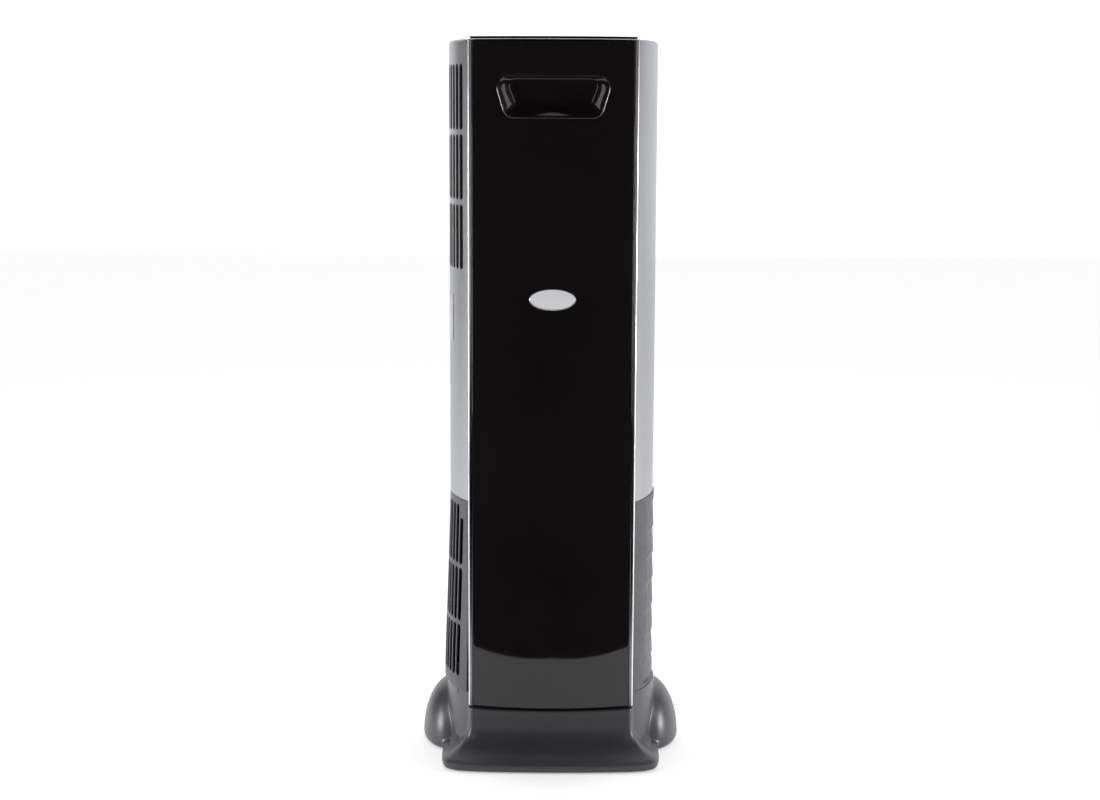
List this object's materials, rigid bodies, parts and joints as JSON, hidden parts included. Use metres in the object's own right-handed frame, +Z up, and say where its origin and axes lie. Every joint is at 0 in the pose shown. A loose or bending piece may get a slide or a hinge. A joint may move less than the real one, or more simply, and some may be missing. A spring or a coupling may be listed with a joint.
{
  "type": "air purifier",
  "caption": "Slim floor-standing air purifier tower with a gloss black pull-off front cover, slotted side grilles and a lobed charcoal base.",
  "frame": {"origin": "floor level, under the middle of the base's outline", "axes": "+X to the right seen from the front, +Y towards the back, +Z up"},
  "size_m": [0.358, 0.289, 0.9634],
  "materials": {
    "silver_shell": "satin silver-grey with a faint metallic flake",
    "charcoal_shell": "satin charcoal with a fine grain",
    "charcoal_base": "satin charcoal, smooth",
    "gloss_black": "polished espresso black",
    "silver_trim": "polished bevel with a satin inner strip",
    "pearl": "pearly white, slightly domed",
    "plate_film": "plain satin film",
    "smoked_window": "smoked display window",
    "button_key": "gloss key",
    "inner_plastic": "plain moulded",
    "zinc_steel": "zinc plated",
    "foot_rubber": "matt",
    "circuit_board": "solder mask",
    "motor_paint": "satin",
    "wheel_plastic": "moulded",
    "filter_cap": "moulded dark grey",
    "filter_paper": "fibrous",
    "mesh_fabric": "fine mesh",
    "carbon_cloth": "granular",
    "gasket_foam": "soft foam",
    "cable_jacket": "jacketed wires"
  },
  "bodies": {
    "housing": {"left_outlet_grille": "silver_shell", "right_side_cover": "silver_shell", "label_plate": "plate_film", "left_intake_grille": "charcoal_shell", "right_lower_panel": "charcoal_shell", "upper_back_panel": "silver_shell", "lower_back_panel": "charcoal_shell", "front_frame": "inner_plastic", "steel_catches": "zinc_steel", "top_plate": "gloss_black", "display_window": "smoked_window", "control_board": "circuit_board", "board_posts": "inner_plastic", "button_switches": "inner_plastic", "base_shell": "charcoal_base", "base_plate": "inner_plastic", "rubber_feet": "foot_rubber", "base_screws": "zinc_steel", "filter_tray": "inner_plastic", "fan_deck": "inner_plastic", "inlet_ring": "inner_plastic", "fan_duct": "inner_plastic", "motor_bracket": "zinc_steel", "motor_can": "motor_paint", "motor_bearings": "zinc_steel", "motor_screws": "zinc_steel", "air_baffle": "inner_plastic", "power_inlet": "gloss_black", "power_board": "circuit_board", "power_board_posts": "inner_plastic", "door_sensor": "inner_plastic", "rear_rails": "inner_plastic", "housing_screws": "zinc_steel", "wiring": "cable_jacket"},
    "cover": {"front_cover": "gloss_black", "cover_bezel": "silver_trim", "pull_cup": "gloss_black", "badge": "pearl", "cover_magnets": "zinc_steel"},
    "filter": {"filter_bottom_cap": "filter_cap", "filter_top_cap": "filter_cap", "filter_gasket": "gasket_foam", "prefilter_sleeve": "mesh_fabric", "carbon_sleeve": "carbon_cloth", "hepa_pleats": "filter_paper", "filter_pull_tab": "filter_cap"},
    "wheel": {"blower_wheel": "wheel_plastic", "wheel_nut": "zinc_steel", "motor_shaft": "zinc_steel"},
    "button_power": {"button_power": "button_key"},
    "button_speed": {"button_speed": "button_key"},
    "button_timer": {"button_timer": "button_key"},
    "button_night": {"button_night": "button_key"}
  },
  "joints": [
    {"name": "cover_pull", "type": "slide", "parent": "housing", "child": "cover", "axis": [0, -1, 0], "range_m": [0, 0.45]},
    {"name": "filter_slide", "type": "slide", "parent": "housing", "child": "filter", "axis": [0, -1, 0], "range_m": [0, 0.315]},
    {"name": "wheel_spin", "type": "hinge", "parent": "housing", "child": "wheel", "pos_m": [0, 0.01, 0.42], "axis": [0, 0, 1], "continuous": true},
    {"name": "button_power_press", "type": "slide", "parent": "housing", "child": "button_power", "axis": [0, 0, -1], "range_m": [0, 0.0008], "stiffness_N_per_m": 500},
    {"name": "button_speed_press", "type": "slide", "parent": "housing", "child": "button_speed", "axis": [0, 0, -1], "range_m": [0, 0.0008], "stiffness_N_per_m": 500},
    {"name": "button_timer_press", "type": "slide", "parent": "housing", "child": "button_timer", "axis": [0, 0, -1], "range_m": [0, 0.0008], "stiffness_N_per_m": 500},
    {"name": "button_night_press", "type": "slide", "parent": "housing", "child": "button_night", "axis": [0, 0, -1], "range_m": [0, 0.0008], "stiffness_N_per_m": 500}
  ],
  "couplings": [
    {"joint": "filter_slide", "follows": "cover_pull", "ratio": 0.7}
  ]
}
